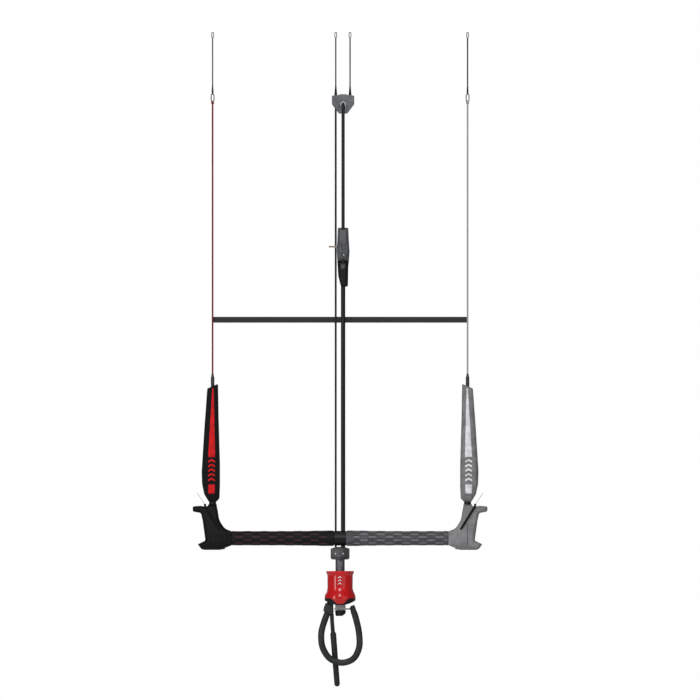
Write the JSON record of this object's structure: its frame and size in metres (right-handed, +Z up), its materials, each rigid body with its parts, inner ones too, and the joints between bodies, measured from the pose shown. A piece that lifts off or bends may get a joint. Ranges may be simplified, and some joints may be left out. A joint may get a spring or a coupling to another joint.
{
  "type": "kitesurf control bar",
  "caption": "Control bar for a kitesurf kite: grip bar with winding ends and floats, leader lines, trim cleat, swivel, push-away release and harness loop.",
  "frame": {"origin": "middle of the four line ends, at the height where the kite's own lines would be hitched", "axes": "+Z up along the lines towards the kite, +X along the bar, -Y the face seen from the front"},
  "size_m": [0.5204, 0.0548, 1.1554],
  "materials": {
    "flying_line": "tight braid, dark",
    "back_line_grey": "tight braid, grey",
    "block_grey": "moulded, fine grain",
    "bright_metal": "polished",
    "steel": "brushed",
    "trim_rope": "coarse braid, black",
    "flag_rope": "braid, near black",
    "cleat_plastic": "moulded, fine grain",
    "cleat_metal": "anodised grey",
    "side_pin": "dull, worn",
    "sheath": "soft polyurethane, satin",
    "core_rope": "braid",
    "barrel_plastic": "speckled, knurled",
    "handle_rubber": "soft rubber",
    "black_plastic": "moulded",
    "grip_black": "foam with embossed dashes",
    "grip_grey": "foam with embossed dashes",
    "bar_alloy": "anodised",
    "end_black": "moulded rubber",
    "end_grey": "moulded rubber",
    "keeper_elastic": "elastic cord",
    "float_black": "closed-cell foam, black with a red wedge",
    "float_grey": "closed-cell foam, grey with a pale wedge",
    "bead_black": "moulded",
    "ferrule_grey": "moulded",
    "leader_red": "braid, red",
    "leader_grey": "braid, light grey",
    "webbing": "flat woven webbing",
    "release_red": "glossy moulded red",
    "lip_rubber": "soft rubber",
    "loop_rubber": "polyurethane tube",
    "boot_rubber": "grained rubber",
    "stem_grey": "anodised grey"
  },
  "bodies": {
    "kite_side": {"front_lines": "flying_line", "front_line_ends": "flying_line", "front_splices": "flying_line", "block_front_shell": "block_grey", "block_rear_shell": "block_grey", "block_pins": "steel", "block_eyelet": "bright_metal", "trim_line": "trim_rope", "flag_line": "flag_rope"},
    "centre_line": {"cleat_body": "cleat_plastic", "cleat_wedge": "cleat_metal", "cleat_side_pin": "side_pin", "cleat_screws": "steel", "depower_sheath": "sheath", "depower_core": "core_rope", "swivel_barrel": "barrel_plastic", "swivel_race": "steel", "barrel_screws": "steel"},
    "handle": {"trim_handle": "handle_rubber", "trim_tail": "trim_rope"},
    "guide": {"line_guide": "black_plastic"},
    "bar": {"hub_front_shell": "black_plastic", "hub_rear_shell": "black_plastic", "grip_left": "grip_black", "grip_right": "grip_grey", "bar_tubes": "bar_alloy", "tube_plugs": "black_plastic", "bar_end_left": "end_black", "bar_end_right": "end_grey", "bar_end_screws": "steel", "keepers": "keeper_elastic"},
    "side_left": {"float_left": "float_black", "neck_bead_left": "bead_black", "ferrule_left": "ferrule_grey", "leader_left": "leader_red", "leader_knot_left": "leader_red", "back_line_left": "back_line_grey", "back_splice_left": "flying_line"},
    "side_right": {"float_right": "float_grey", "neck_bead_right": "bead_black", "ferrule_right": "ferrule_grey", "leader_right": "leader_grey", "leader_knot_right": "leader_grey", "back_line_right": "flying_line", "back_splice_right": "flying_line"},
    "strap": {"cross_strap": "webbing"},
    "release": {"swivel_shaft": "stem_grey", "bearing_balls": "bright_metal", "release_core": "black_plastic", "loop_pin": "steel", "release_spring": "steel", "pin_saddle": "bright_metal", "core_plug": "black_plastic"},
    "sleeve": {"release_sleeve": "release_red", "sleeve_lip": "lip_rubber"},
    "pin": {"release_pin": "steel"},
    "loop": {"harness_loop": "loop_rubber", "loop_boot": "boot_rubber", "loop_root": "stem_grey"},
    "stick": {"hook_stick": "boot_rubber"}
  },
  "joints": [
    {"name": "trim_pull", "type": "slide", "parent": "kite_side", "child": "centre_line", "axis": [0, 0, -1], "range_m": [-0.12, 0], "deforming": ["trim_line", "flag_line"]},
    {"name": "handle_travel", "type": "slide", "parent": "centre_line", "child": "handle", "axis": [0, 0, -1], "range_m": [0, 0.24], "deforming": ["trim_tail"]},
    {"name": "bar_slide", "type": "slide", "parent": "centre_line", "child": "guide", "axis": [0, 0, 1], "range_m": [0, 0.42]},
    {"name": "bar_tilt", "type": "hinge", "parent": "guide", "child": "bar", "pos_m": [0, 0, -0.8935], "axis": [0, 1, 0], "range_deg": [-10, 10]},
    {"name": "side_left_pivot", "type": "hinge", "parent": "bar", "child": "side_left", "pos_m": [-0.225, 0, -0.8315], "axis": [0, 1, 0], "range_deg": [-12, 12]},
    {"name": "side_right_pivot", "type": "hinge", "parent": "bar", "child": "side_right", "pos_m": [0.225, 0, -0.8315], "axis": [0, 1, 0], "range_deg": [-12, 12]},
    {"name": "strap_pivot", "type": "hinge", "parent": "side_left", "child": "strap", "pos_m": [-0.225, 0, -0.5079], "axis": [0, 1, 0], "range_deg": [-12, 12]},
    {"name": "swivel", "type": "hinge", "parent": "centre_line", "child": "release", "pos_m": [0, 0, -0.925], "axis": [0, 0, 1], "continuous": true},
    {"name": "loop_open", "type": "hinge", "parent": "release", "child": "loop", "pos_m": [-0.017, 0, -1], "axis": [0, 1, 0], "range_deg": [0, 100]},
    {"name": "sleeve_push", "type": "slide", "parent": "release", "child": "sleeve", "axis": [0, 0, 1], "range_m": [0, 0.018], "stiffness_N_per_m": 400, "springref_m": -0.012, "deforming": ["release_spring"]},
    {"name": "pin_draw", "type": "slide", "parent": "release", "child": "pin", "axis": [-1, 0, 0], "range_m": [0, 0.009]},
    {"name": "stick_swing", "type": "hinge", "parent": "loop", "child": "stick", "pos_m": [-0.0146, 0.0018, -1.02], "axis": [0, 0, 1], "range_deg": [0, 60]}
  ],
  "couplings": [
    {"joint": "handle_travel", "follows": "trim_pull", "ratio": -2},
    {"joint": "side_left_pivot", "follows": "bar_tilt", "ratio": -1},
    {"joint": "side_right_pivot", "follows": "bar_tilt", "ratio": -1},
    {"joint": "strap_pivot", "follows": "bar_tilt", "ratio": 1},
    {"joint": "sleeve_push", "follows": "loop_open", "m_per_rad": 0.010256},
    {"joint": "pin_draw", "follows": "loop_open", "m_per_rad": 0.005099}
  ]
}
